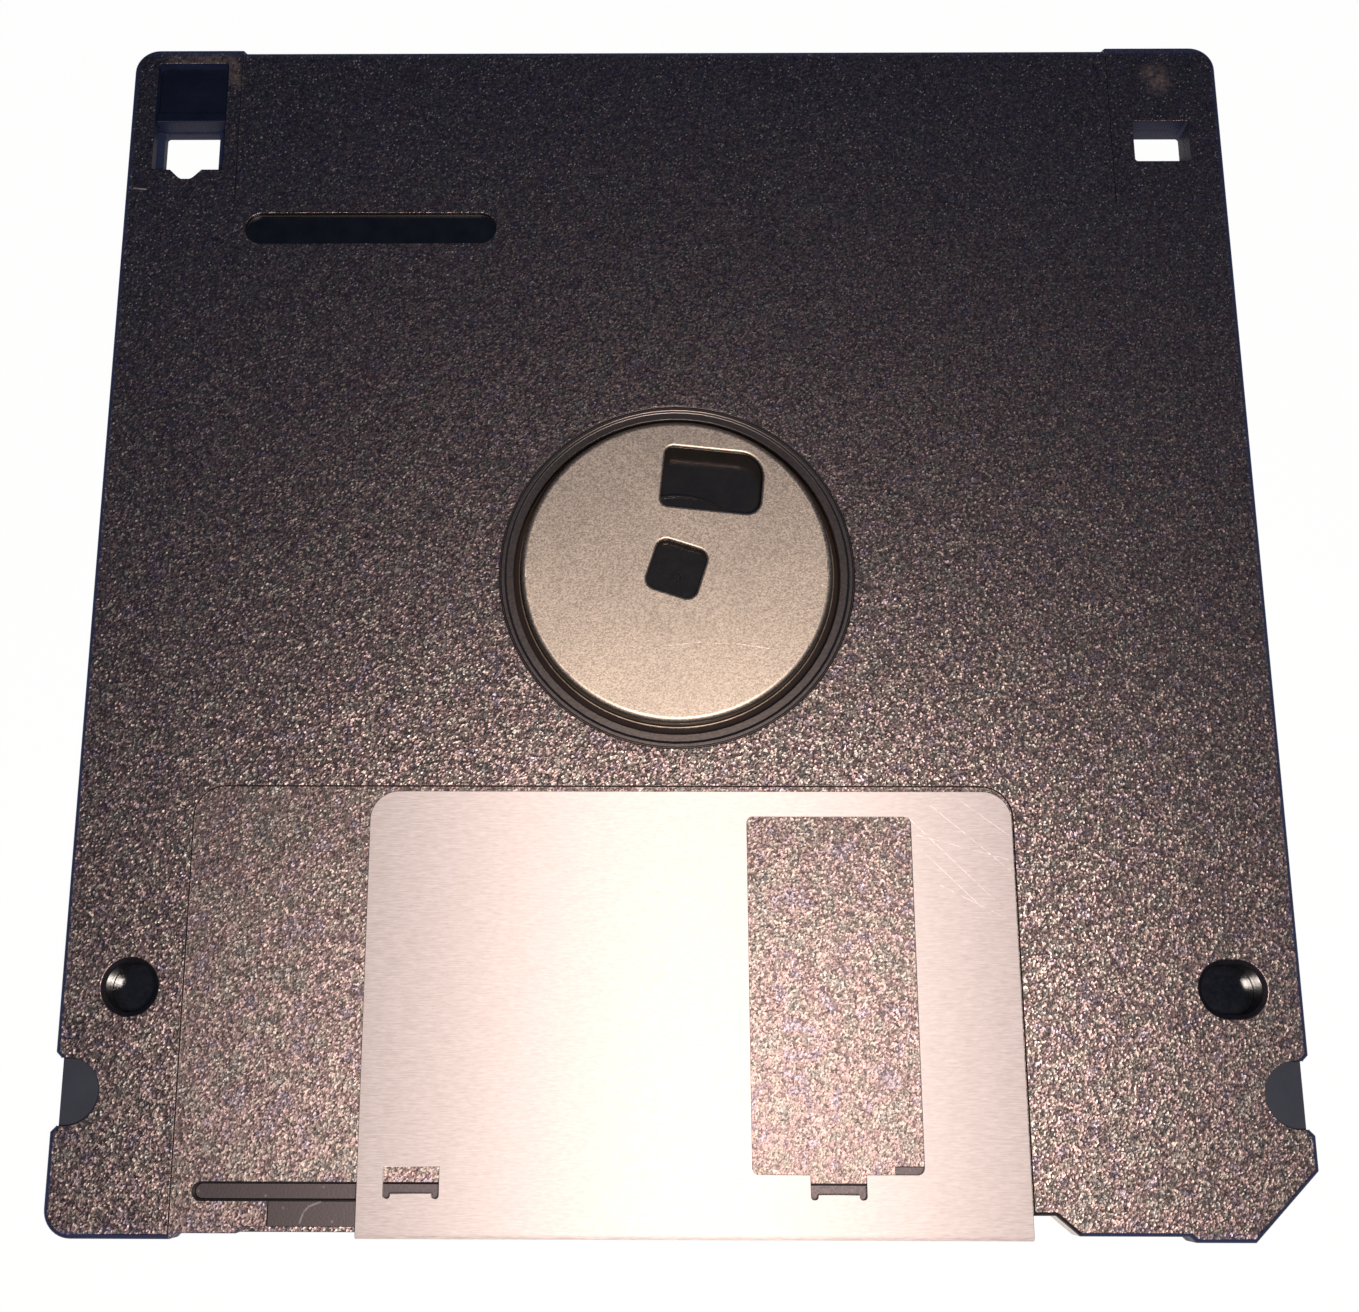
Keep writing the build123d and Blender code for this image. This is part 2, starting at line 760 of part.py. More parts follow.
# Write-protect tab, which slides in its pocket and covers the hole when pushed over
tab_y = pocket_top - tab_gap - tab_length / 2
tab_width = pocket_width - 2 * tab_gap
tab_base = front_inside + tab_floor_gap
with BuildPart() as write_protect_tab:
    with BuildSketch(Plane.XY.offset(tab_base)):
        with Locations((pocket_x, tab_y)):
            Rectangle(tab_width + 2 * tab_rail_width, tab_length)
    extrude(amount=tab_rail_height)
    with BuildSketch(Plane.XY.offset(tab_base)):
        with Locations((pocket_x, tab_y)):
            RectangleRounded(tab_width, tab_length, pocket_round)
    extrude(amount=case_thickness - tab_dish_drop - tab_base)
    with BuildSketch(Plane.XY.offset(tab_base)):
        with Locations((pocket_x, tab_y - tab_length / 2)):
            Rectangle(tab_width, tab_lip_length, align=(Align.CENTER, Align.MIN))
    extrude(amount=case_thickness - tab_lip_drop - tab_base)
    lip_face = write_protect_tab.faces().sort_by(Axis.Z)[-1]
    fillet(lip_face.edges().filter_by(Axis.X), tab_edge_round)

write_protect_tab.part.label = "write_protect_tab"

# Shutter, one sheet folded round the leading edge
with BuildPart() as shutter:
    leaf_top = shutter_floor + shutter_face_gap + shutter_sheet
    leaf_bottom = case_thickness - leaf_top
    inner_fold = shutter_fold_radius
    outer_fold = shutter_fold_radius + shutter_sheet
    leaf_end = lead + shutter_length
    with BuildSketch(Plane.YZ.offset(shutter_left)):
        with BuildLine():
            FilletPolyline(
                (leaf_end, leaf_top),
                (shutter_nose, leaf_top),
                (shutter_nose, leaf_bottom),
                (leaf_end, leaf_bottom),
                radius=outer_fold,
            )
            Line((leaf_end, leaf_bottom), (leaf_end, leaf_bottom + shutter_sheet))
            FilletPolyline(
                (leaf_end, leaf_bottom + shutter_sheet),
                (shutter_nose + shutter_sheet, leaf_bottom + shutter_sheet),
                (shutter_nose + shutter_sheet, leaf_top - shutter_sheet),
                (leaf_end, leaf_top - shutter_sheet),
                radius=inner_fold,
            )
            Line((leaf_end, leaf_top - shutter_sheet), (leaf_end, leaf_top))
        make_face()
    extrude(amount=shutter_width)
    free_corners = shutter.edges().filter_by(Axis.Z).group_by(Axis.Y)[-1]
    fillet(free_corners, shutter_corner_radius)

    # Window in both leaves
    window_y = lead + shutter_window_start + shutter_window_length / 2
    with BuildSketch(Plane.XY):
        with Locations((window_tab_x, window_y)):
            RectangleRounded(shutter_window_width, shutter_window_length, shutter_window_round)
    extrude(amount=case_thickness, mode=Mode.SUBTRACT)

    # Slots that the guide tabs are bent out of, with rounded relief notches
    tab_start = lead + guide_tab_setback + shutter_sheet
    notch_low = tab_start - relief_length
    tab_slot_width = guide_tab_width + 2 * relief_width
    with BuildSketch(Plane.XY.offset(shutter_floor)):
        for tab_x in (guide_tab_x, window_tab_x):
            with Locations((tab_x, tab_start)):
                Rectangle(tab_slot_width, tab_slot_length, align=(Align.CENTER, Align.MIN))
            for side in (-1, 1):
                notch_x = tab_x + side * (guide_tab_width + relief_width) / 2
                with Locations((notch_x, notch_low + relief_width / 2)):
                    Circle(relief_width / 2)
                with Locations((notch_x, tab_start)):
                    Rectangle(
                        relief_width,
                        relief_length - relief_width / 2,
                        align=(Align.CENTER, Align.MAX),
                    )
    extrude(amount=shutter_recess_depth, mode=Mode.SUBTRACT)

    # Guide tabs, bent down into the groove
    tab_low = leaf_top - shutter_sheet - guide_tab_depth
    for tab_x in (guide_tab_x, window_tab_x):
        with BuildSketch(Plane.XY.offset(tab_low)):
            with Locations((tab_x, tab_start)):
                Rectangle(guide_tab_width, shutter_sheet, align=(Align.CENTER, Align.MAX))
        extrude(amount=guide_tab_depth)

    # Hook, bent inwards through the leading edge to meet the spring
    with BuildSketch(Plane.XY.offset(hook_height - shutter_sheet / 2)):
        with Locations((hook_x, shutter_nose + shutter_sheet / 2)):
            Rectangle(hook_width, hook_length, align=(Align.CENTER, Align.MIN))
    extrude(amount=shutter_sheet)

shutter.part.label = "shutter"

# Torsion spring of one turn, between the case's corner and the shutter's hook
coil = Vector(left + spring_coil_right, lead + spring_coil_up)
wire_radius = wire_diameter / 2
seat = Vector(left + grip_block_width + wire_radius + spring_tip_gap, lead + spring_seat_up)
tip = Vector(
    hook_x - hook_width / 2 - wire_radius - spring_tip_gap,
    lead + spring_tip_up,
)


# Angle at which a leg from a point touches the coil, on the side given
def tangent_angle(point, side):
    away = hypot(point.X - coil.X, point.Y - coil.Y)
    bearing = degrees(atan2(point.Y - coil.Y, point.X - coil.X))
    return bearing + side * degrees(acos(spring_radius / away))


tip_angle = tangent_angle(tip, 1)
turn = (tangent_angle(seat, -1) - tip_angle) % 360 + 360
rise = spring_pitch * turn / 360

with BuildPart() as shutter_spring:
    with BuildLine() as coil_path:
        center = (coil.X, coil.Y, hook_height)
        winding = Helix(spring_pitch, rise, spring_radius, center, mode=Mode.PRIVATE)
        add(winding.rotate(Axis(center, (0, 0, 1)), tip_angle))
    with BuildSketch(Plane(origin=coil_path.line @ 0, z_dir=coil_path.line % 0)):
        Circle(wire_radius)
    sweep(path=coil_path.line)
    for leg_tip, coil_end in ((tip, 0), (seat, 1)):
        joint = coil_path.line @ coil_end
        leg = Vector(leg_tip.X, leg_tip.Y, joint.Z) - joint
        with BuildSketch(Plane(origin=joint, z_dir=coil_path.line % coil_end)):
            Circle(wire_radius)
        extrude(amount=leg.length, dir=leg.normalized())

shutter_spring.part.label = "shutter_spring"

pieces = {
    "rear_shell": rear_shell,
    "front_shell": front_shell,
    "rear_liner": rear_liner,
    "front_liner": front_liner,
    "liner_lifter": liner_lifter,
    "magnetic_disc": magnetic_disc,
    "hub_adhesive_ring": hub_adhesive_ring,
    "hub": hub,
    "write_protect_tab": write_protect_tab,
    "shutter": shutter,
    "shutter_spring": shutter_spring,
}

os.makedirs("parts", exist_ok=True)
for name, piece in pieces.items():
    export_step(piece.part, f"parts/{name}.step")
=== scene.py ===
# A 3.5 inch floppy disk cartridge that lies on its label face, seen from above
# over the hub side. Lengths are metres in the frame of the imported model: the
# shutter edge faces -Y, the label edge +Y, and the table is at height 0.
from math import acos, atan2, cos, hypot, pi, radians, sin

import bmesh
import bpy
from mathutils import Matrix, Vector


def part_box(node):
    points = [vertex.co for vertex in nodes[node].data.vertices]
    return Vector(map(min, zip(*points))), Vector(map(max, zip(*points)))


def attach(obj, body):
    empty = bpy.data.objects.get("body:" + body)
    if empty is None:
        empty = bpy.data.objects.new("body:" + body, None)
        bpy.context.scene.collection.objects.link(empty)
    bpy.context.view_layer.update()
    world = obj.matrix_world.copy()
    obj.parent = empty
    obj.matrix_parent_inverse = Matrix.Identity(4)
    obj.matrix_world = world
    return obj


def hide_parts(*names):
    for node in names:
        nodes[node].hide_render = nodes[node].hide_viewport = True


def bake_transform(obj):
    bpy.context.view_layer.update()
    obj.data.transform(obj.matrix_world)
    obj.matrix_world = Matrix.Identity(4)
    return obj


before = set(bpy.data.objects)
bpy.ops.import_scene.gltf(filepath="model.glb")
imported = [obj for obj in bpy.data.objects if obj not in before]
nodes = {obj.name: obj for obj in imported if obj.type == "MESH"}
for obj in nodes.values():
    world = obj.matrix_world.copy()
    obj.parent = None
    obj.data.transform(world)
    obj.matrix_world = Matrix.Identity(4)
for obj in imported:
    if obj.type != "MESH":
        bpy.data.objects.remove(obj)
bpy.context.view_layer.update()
mm = 0.001

# Camera
# A phone held over the shutter edge and tipped towards the hub. The picture is
# 1359 by 1312 pixels, and its middle lies a little off the lens axis.
camera_place = Vector((-3.5, -38.5, 148.9)) * mm
camera_turn = (radians(16.57), radians(0.58), radians(0.17))
focal_length = 51.9
picture_shift = (0.0506, -0.0916)
nearest_seen = 1 * mm

camera_data = bpy.data.cameras.new("camera")
camera_data.lens = focal_length
camera_data.shift_x, camera_data.shift_y = picture_shift
camera_data.clip_start = nearest_seen
camera = bpy.data.objects.new("camera", camera_data)
camera.location = camera_place
camera.rotation_euler = camera_turn
bpy.context.scene.collection.objects.link(camera)
bpy.context.scene.camera = camera
bpy.context.scene.view_settings.view_transform = "Standard"


# Floor and light
# A pale table, one warm round lamp close above the lens, which gives the glow
# over the shutter, and a dim, slightly blue room.
floor_half = 1.5
floor_grey = 0.86
floor_roughness = 0.9
floor_glow = 0.97
lamp_place = Vector((7.0, -50.0, 165.0)) * mm
lamp_width = 30 * mm
lamp_watts = 0.40
lamp_colour = (1.0, 0.87, 0.78)
room_colour = (0.25, 0.47, 1.0)
room_strength = 0.115
room_glow = 1.0


def link(tree, source, target):
    tree.links.new(source, target)


def new_material(name):
    made = bpy.data.materials.new(name)
    made.use_nodes = True
    return made, made.node_tree, made.node_tree.nodes["Principled BSDF"]


def camera_sees(tree, share, usual, shown, target):
    seen = tree.nodes.new("ShaderNodeLightPath")
    part = tree.nodes.new("ShaderNodeMath")
    part.operation = "MULTIPLY"
    part.inputs[1].default_value = share
    mix = tree.nodes.new("ShaderNodeMixShader")
    link(tree, seen.outputs["Is Camera Ray"], part.inputs[0])
    link(tree, part.outputs[0], mix.inputs[0])
    link(tree, usual.outputs[0], mix.inputs[1])
    link(tree, shown.outputs[0], mix.inputs[2])
    link(tree, mix.outputs[0], target)


floor_mesh = bpy.data.meshes.new("floor")
corners = [(x * floor_half, y * floor_half, 0) for x, y in ((-1, -1), (1, -1), (1, 1), (-1, 1))]
floor_mesh.from_pydata(corners, [], [(0, 1, 2, 3)])
floor = bpy.data.objects.new("floor", floor_mesh)
bpy.context.scene.collection.objects.link(floor)
table_paint, tree, paint = new_material("table_paint")
paint.inputs["Base Color"].default_value = (floor_grey, floor_grey, floor_grey, 1)
paint.inputs["Roughness"].default_value = floor_roughness
glow = tree.nodes.new("ShaderNodeEmission")
camera_sees(tree, floor_glow, paint, glow, tree.nodes["Material Output"].inputs["Surface"])
floor_mesh.materials.append(table_paint)

lamp_data = bpy.data.lights.new("lamp", "AREA")
lamp_data.shape = "DISK"
lamp_data.size = lamp_width
lamp_data.energy = lamp_watts
lamp_data.color = lamp_colour
lamp = bpy.data.objects.new("lamp", lamp_data)
lamp.location = lamp_place
bpy.context.scene.collection.objects.link(lamp)

room = bpy.data.worlds.new("room")
room.use_nodes = True
bpy.context.scene.world = room
tree = room.node_tree
dim = tree.nodes["Background"]
dim.inputs["Color"].default_value = (*room_colour, 1)
dim.inputs["Strength"].default_value = room_strength
white = tree.nodes.new("ShaderNodeBackground")
camera_sees(tree, room_glow, dim, white, tree.nodes["World Output"].inputs["Surface"])


# Shells
# The case is two black plastic mouldings, welded at four pins. Their mould was
# spark-eroded, so the flat outer faces have a fine grain that glints in warm, violet
# and olive shades. Ledges are satin and slots glossy; the edges and hole walls are
# painted with a bluish light.
def feed(tree, given, socket):
    if isinstance(given, bpy.types.NodeSocket):
        link(tree, given, socket)
    elif socket.type == "RGBA":
        socket.default_value = (*given, 1)
    else:
        socket.default_value = given


def set_up(tree, shader, sockets):
    for name, given in sockets.items():
        feed(tree, given, shader.inputs[name])


def laid_out(tree, turn=0.0, drawn_out=(1, 1, 1)):
    place = tree.nodes.new("ShaderNodeTexCoord")
    mapping = tree.nodes.new("ShaderNodeMapping")
    mapping.vector_type = "TEXTURE"
    mapping.inputs["Rotation"].default_value = (0, 0, turn)
    mapping.inputs["Scale"].default_value = drawn_out
    link(tree, place.outputs["Object"], mapping.inputs["Vector"])
    return mapping.outputs["Vector"]


def noise(tree, vector, size, detail=2.0, roughness=0.5):
    texture = tree.nodes.new("ShaderNodeTexNoise")
    texture.inputs["Scale"].default_value = 1 / size
    texture.inputs["Detail"].default_value = detail
    texture.inputs["Roughness"].default_value = roughness
    link(tree, vector, texture.inputs["Vector"])
    return texture.outputs["Fac"]


def ramp(tree, value, stops):
    made = tree.nodes.new("ShaderNodeValToRGB")
    band = made.color_ramp
    for _ in stops[2:]:
        band.elements.new(0.5)
    for element, (position, colour) in zip(band.elements, stops):
        element.position = position
        element.color = (*colour, 1)
    link(tree, value, made.inputs["Fac"])
    return made.outputs["Color"]


def spread(tree, value, low, high, new_low, new_high):
    made = tree.nodes.new("ShaderNodeMapRange")
    limits = (low, high, new_low, new_high)
    for name, limit in zip(("From Min", "From Max", "To Min", "To Max"), limits):
        made.inputs[name].default_value = limit
    link(tree, value, made.inputs["Value"])
    return made.outputs["Result"]


def bump(tree, shader, height, depth, under=None):
    made = tree.nodes.new("ShaderNodeBump")
    made.inputs["Distance"].default_value = depth
    link(tree, height, made.inputs["Height"])
    if under is not None:
        link(tree, under, made.inputs["Normal"])
    link(tree, made.outputs["Normal"], shader.inputs["Normal"])
    return made.outputs["Normal"]


def value_of(tree, operation, first, second):
    made = tree.nodes.new("ShaderNodeMath")
    made.operation = operation
    for socket, given in zip(made.inputs, (first, second)):
        feed(tree, given, socket)
    return made.outputs["Value"]


def vector_of(tree, operation, first, second=None):
    made = tree.nodes.new("ShaderNodeVectorMath")
    made.operation = operation
    for socket, given in zip(made.inputs, (first, second)):
        if given is not None:
            feed(tree, given, socket)
    return made.outputs["Value" if operation in ("DOT_PRODUCT", "LENGTH") else "Vector"]


def mixed(tree, share, first, second, blend="MIX"):
    made = tree.nodes.new("ShaderNodeMix")
    made.data_type = "RGBA"
    made.blend_type = blend
    colours = [socket for socket in made.inputs if socket.type == "RGBA"]
    for socket, given in zip((made.inputs["Factor"], *colours), (share, first, second)):
        feed(tree, given, socket)
    return next(socket for socket in made.outputs if socket.type == "RGBA")


# The share of its reach over which a soft mark is at its strongest
round_core = 0.2
line_core = 0.3


# A soft round mark, 1 at its middle and 0 from its radius outwards
def round_mark(tree, place, middle, radius):
    away = vector_of(tree, "SUBTRACT", place, middle)
    flat = vector_of(tree, "MULTIPLY", away, (1, 1, 0))
    return spread(tree, vector_of(tree, "LENGTH", flat), round_core * radius, radius, 1, 0)


# A straight mark from one point to another, 1 along its line and 0 at its sides
def line_mark(tree, place, start, end, width):
    start = Vector((*start, 0)) * mm
    way = Vector((*end, 0)) * mm - start
    along = way.normalized()
    away = vector_of(tree, "SUBTRACT", place, start)
    flat = vector_of(tree, "MULTIPLY", away, (1, 1, 0))
    travelled = spread(tree, vector_of(tree, "DOT_PRODUCT", flat, along), 0, way.length, 0, way.length)
    reach = tree.nodes.new("ShaderNodeVectorMath")
    reach.operation = "SCALE"
    reach.inputs[0].default_value = along
    link(tree, travelled, reach.inputs["Scale"])
    side = vector_of(tree, "LENGTH", vector_of(tree, "SUBTRACT", flat, reach.outputs["Vector"]))
    return spread(tree, side, line_core * width, width, 1, 0)


def strongest(tree, marks):
    found = marks[0]
    for mark in marks[1:]:
        found = value_of(tree, "MAXIMUM", found, mark)
    return found


# The noise value of the darker and the lighter shade
usual_noise = (0.3, 0.7)
narrow_noise = (0.35, 0.65)
rich_detail = 3.0
wear_size = 0.35 * mm


def two_shades(tree, value, shades, between=usual_noise):
    return ramp(tree, value, list(zip(between, shades)))


# A finish with soft patches of two shades and a fine unevenness in gloss and height
def plain_finish(name, shades, patch, roughness, fine, depth, **further):
    made, tree, shader = new_material(name)
    place = laid_out(tree)
    unevenness = noise(tree, place, fine)
    set_up(tree, shader, {
        "Base Color": two_shades(tree, noise(tree, place, patch, rich_detail), shades),
        "Roughness": spread(tree, unevenness, *usual_noise, *roughness),
    })
    set_up(tree, shader, {socket.replace("_", " "): given for socket, given in further.items()})
    bump(tree, shader, unevenness, depth)
    return made


# Straight marks and dots of one kind, patchy along their length
def patchy_marks(tree, place, lines, dots, line_width, dot_radius, faintest):
    marks = [line_mark(tree, place, start, end, line_width) for start, end in lines]
    marks += [round_mark(tree, place, Vector((*dot, 0)) * mm, dot_radius) for dot in dots]
    wear = spread(tree, noise(tree, place, wear_size), *narrow_noise, faintest, 1)
    return value_of(tree, "MULTIPLY", strongest(tree, marks), wear)


plastic_ior = 1.6
grain_size = 0.12 * mm
grain_lean = radians(52)
grain_length = 1.35
pit_depth = 0.006 * mm
swell_size = 0.30 * mm
swell_depth = 0.020 * mm
glint_patch = 1.2 * mm
glint_detail = 1.0
glint_tints = (
    (0.32, (0.90, 0.80, 0.76)),
    (0.42, (0.98, 0.81, 0.72)),
    (0.50, (1.0, 0.78, 0.75)),
    (0.58, (1.0, 0.73, 0.69)),
    (0.68, (0.92, 0.75, 0.84)),
)
dark_grain = (0.0005, 0.0008, 0.003)
# Light specks in the base colour stand in for the grain's sparse glints: painted glints
painted_glint_shades = (
    (0.0, dark_grain),
    (0.58, (0.001, 0.001, 0.004)),
    (0.80, (0.012, 0.013, 0.017)),
    (0.94, (0.054, 0.055, 0.060)),
    (1.0, (0.190, 0.190, 0.190)),
)
painted_glint_reach = (0.25, 0.60)
# Soft light-brown patches near the top corners of the face
brown_patch_lines = (((-41.6, 46.0), (-36.9, 45.9)), ((-36.9, 45.9), (-36.4, 43.9)))
brown_patch_width = 0.8 * mm
brown_patch_dots = ((40.2, 43.7), (39.9, 44.4))
brown_patch_radius = 1.4 * mm
brown_patch_faintest = 0.1
brown_patch_shade = (0.080, 0.058, 0.050)
# Small light marks: a short scratch, and dots that are partly nicks and partly painted glints
nick_lines = (((-44.3, 34.2), (-43.3, 34.1)),)
nick_and_glint_dots = ((-34.1, 38.9), (-37.8, 46.6), (-24.0, 39.6), (-34.3, -43.1))
nick_width = 0.09 * mm
nick_and_glint_radius = 0.14 * mm
nick_and_glint_faintest = 0.6
nick_and_glint_shade = (0.22, 0.20, 0.20)
# Near the outline the grain takes on a bluish painted light, like the edges
rim_starts = (44.50 * mm, 46.25 * mm)
rim_ends = (44.90 * mm, 46.75 * mm)
painted_rim_light = (0.012, 0.019, 0.055)
chance_middle = (0.5, 0.5, 0.5)


# Each grain is a tiny flat facet, tilted at random, so it glints or stays dark
def grained_finish(name, tilt, gloss, gloss_range, roughness):
    made, tree, shader = new_material(name)
    upright = laid_out(tree)
    grains = tree.nodes.new("ShaderNodeTexVoronoi")
    grains.inputs["Scale"].default_value = 1 / grain_size
    link(tree, laid_out(tree, grain_lean, (grain_length, 1, 1)), grains.inputs["Vector"])
    chance = tree.nodes.new("ShaderNodeSeparateColor")
    link(tree, grains.outputs["Color"], chance.inputs["Color"])
    # Light specks, painted glints
    painted_glints = ramp(tree, chance.outputs["Red"], painted_glint_shades)
    dots = spread(tree, grains.outputs["Distance"], *painted_glint_reach, 1, 0)
    brown_patches = patchy_marks(
        tree, upright, brown_patch_lines, brown_patch_dots, brown_patch_width, brown_patch_radius, brown_patch_faintest
    )
    nicks_and_glints = patchy_marks(tree, upright, nick_lines, nick_and_glint_dots, nick_width, nick_and_glint_radius, nick_and_glint_faintest)
    # A bluish band along the outline: painted light
    side = tree.nodes.new("ShaderNodeSeparateXYZ")
    link(tree, vector_of(tree, "ABSOLUTE", upright), side.inputs["Vector"])
    reach = zip(("X", "Y"), rim_starts, rim_ends)
    painted_rim_lights = [spread(tree, side.outputs[axis], start, end, 0, 1) for axis, start, end in reach]
    colour = mixed(tree, dots, dark_grain, painted_glints)
    colour = mixed(tree, brown_patches, colour, brown_patch_shade)
    colour = mixed(tree, nicks_and_glints, colour, nick_and_glint_shade)
    shine = value_of(tree, "POWER", gloss_range, chance.outputs["Blue"])
    set_up(tree, shader, {
        "IOR": plastic_ior,
        "Base Color": mixed(tree, strongest(tree, painted_rim_lights), colour, painted_rim_light),
        "Roughness": spread(tree, chance.outputs["Green"], 0, 1, *roughness),
        "Specular IOR Level": value_of(tree, "MULTIPLY", shine, gloss),
        "Specular Tint": ramp(tree, noise(tree, upright, glint_patch, glint_detail), glint_tints),
    })
    away = vector_of(tree, "SUBTRACT", grains.outputs["Color"], chance_middle)
    lean = vector_of(tree, "MULTIPLY", away, (tilt, tilt, tilt))
    upwards = tree.nodes.new("ShaderNodeNewGeometry").outputs["Normal"]
    facet = vector_of(tree, "NORMALIZE", vector_of(tree, "ADD", upwards, lean))
    swell = bump(tree, shader, noise(tree, upright, swell_size), swell_depth, facet)
    bump(tree, shader, grains.outputs["Distance"], pit_depth, swell)
    return made


grained_plastic = grained_finish(
    "case_plastic_grained", tilt=0.29, gloss=0.72, gloss_range=2.5, roughness=(0.36, 0.42)
)
# Where the shutter slides, the grain is rubbed a little flatter
worn_plastic = grained_finish(
    "case_plastic_worn", tilt=0.25, gloss=0.98, gloss_range=1.5, roughness=(0.40, 0.46)
)
ledge_plastic = plain_finish(
    "case_plastic_ledge",
    shades=((0.003, 0.003, 0.003), (0.006, 0.005, 0.005)),
    patch=2.4 * mm,
    roughness=(0.32, 0.38),
    fine=0.19 * mm,
    depth=0.004 * mm,
    IOR=plastic_ior,
    Specular_IOR_Level=0.9,
    Specular_Tint=(1.0, 0.84, 0.78),
)
# Painted bluish light on the outer edges, as if lit from the table
edge_plastic_painted_light = plain_finish(
    "case_plastic_edge_painted_light",
    shades=((0.012, 0.017, 0.046), (0.018, 0.025, 0.064)),
    patch=3.3 * mm,
    roughness=(0.50, 0.60),
    fine=0.17 * mm,
    depth=0.006 * mm,
    IOR=plastic_ior,
    Specular_IOR_Level=0.3,
    Specular_Tint=(0.45, 0.60, 1.0),
)
glossy_plastic = plain_finish(
    "case_plastic_glossy",
    shades=((0.002, 0.002, 0.003), (0.005, 0.005, 0.006)),
    patch=1.5 * mm,
    roughness=(0.14, 0.20),
    fine=0.25 * mm,
    depth=0.003 * mm,
    IOR=plastic_ior,
)
# Painted bluish light on the walls of the through holes and the tab's pocket
hole_wall_painted_light = plain_finish(
    "case_plastic_hole_wall_painted_light",
    shades=((0.010, 0.015, 0.044), (0.016, 0.023, 0.062)),
    patch=1.3 * mm,
    roughness=(0.50, 0.60),
    fine=0.17 * mm,
    depth=0.004 * mm,
    Specular_IOR_Level=0.25,
)
grip_plastic = plain_finish(
    "case_plastic_grip",
    shades=((0.015, 0.016, 0.026), (0.019, 0.021, 0.032)),
    patch=1.8 * mm,
    roughness=(0.50, 0.58),
    fine=0.17 * mm,
    depth=0.005 * mm,
    Specular_IOR_Level=0.28,
    Specular_Tint=(0.80, 0.90, 1.0),
)
boss_plastic = plain_finish(
    "case_plastic_boss",
    shades=((0.009, 0.008, 0.007), (0.013, 0.011, 0.010)),
    patch=1.5 * mm,
    roughness=(0.16, 0.22),
    fine=0.25 * mm,
    depth=0.003 * mm,
    IOR=plastic_ior,
)

# The smooth floors of the groove and the notch beside the shutter have picked up dust
# and one curved scratch. The light dot at the groove's left end is a painted glint.
dust_and_glint_dots = ((-34.3, -43.8), (-29.5, -44.1), (-24.6, -45.8), (-28.1, -44.9), (-25.4, -43.5))
curved_scratch = ((-26.9, -45.9), (-26.65, -45.2), (-26.3, -44.8), (-25.5, -44.5))
dust_width = 0.09 * mm
dust_and_glint_radius = 0.13 * mm
dust_and_glint_faintest = 0.3
dust_and_glint_shade = (0.16, 0.15, 0.16)
smooth_shades = ((0.002, 0.002, 0.003), (0.007, 0.006, 0.008))
smooth_fine = 0.17 * mm
smooth_roughness = (0.42, 0.50)
smooth_depth = 0.006 * mm

smooth_plastic, tree, shader = new_material("case_plastic_smooth")
flat = laid_out(tree)
fine = noise(tree, flat, smooth_fine, rich_detail)
shades = two_shades(tree, fine, smooth_shades, narrow_noise)
lines = tuple(zip(curved_scratch, curved_scratch[1:]))
dust_and_glint = patchy_marks(tree, flat, lines, dust_and_glint_dots, dust_width, dust_and_glint_radius, dust_and_glint_faintest)
set_up(tree, shader, {
    "Base Color": mixed(tree, dust_and_glint, shades, dust_and_glint_shade),
    "Roughness": spread(tree, fine, *usual_noise, *smooth_roughness),
    "IOR": plastic_ior,
    "Specular IOR Level": 0.4,
    "Specular Tint": (1.0, 0.86, 0.90),
})
bump(tree, shader, fine, smooth_depth)

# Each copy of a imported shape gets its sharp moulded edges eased, and its faces get
# the finishes that they have on the real one
eased_edge = 0.045 * mm
eased_steps = 2
level_weight = 100
flat_enough = radians(0.3)
sharp_enough = radians(28)
same_point = 0.002 * mm
same_height = 0.01 * mm


def eased_copy(node, width):
    mesh = nodes[node].data.copy()
    shape = bmesh.new()
    shape.from_mesh(mesh)
    bmesh.ops.remove_doubles(shape, verts=shape.verts, dist=same_point)
    bmesh.ops.dissolve_limit(shape, angle_limit=flat_enough, verts=shape.verts, edges=shape.edges)
    for face in shape.faces:
        face.smooth = True
    shape.to_mesh(mesh)
    shape.free()
    mesh.set_sharp_from_angle(angle=sharp_enough)
    mesh.materials.clear()
    piece = bpy.data.objects.new(f"{node}_finished", mesh)
    bpy.context.scene.collection.objects.link(piece)
    if width:
        easing = piece.modifiers.new("easing", "BEVEL")
        easing.width = width
        easing.segments = eased_steps
        easing.limit_method = "ANGLE"
        easing.angle_limit = sharp_enough
        easing.use_clamp_overlap = False
    level = piece.modifiers.new("level", "WEIGHTED_NORMAL")
    level.mode = "FACE_AREA"
    level.weight = level_weight
    level.keep_sharp = True
    bpy.context.view_layer.update()
    seen = piece.evaluated_get(bpy.context.evaluated_depsgraph_get())
    baked = bpy.data.meshes.new_from_object(seen)
    piece.modifiers.clear()
    piece.data = baked
    baked.name = piece.name
    return piece


def finish_faces(piece, materials, choose):
    for material in materials:
        piece.data.materials.append(material)
    for face in piece.data.polygons:
        corners = [piece.data.vertices[index].co for index in face.vertices]
        face.material_index = choose(face.center, face.normal, corners)


def stands_for(piece, node, body):
    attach(piece, body)
    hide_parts(node)


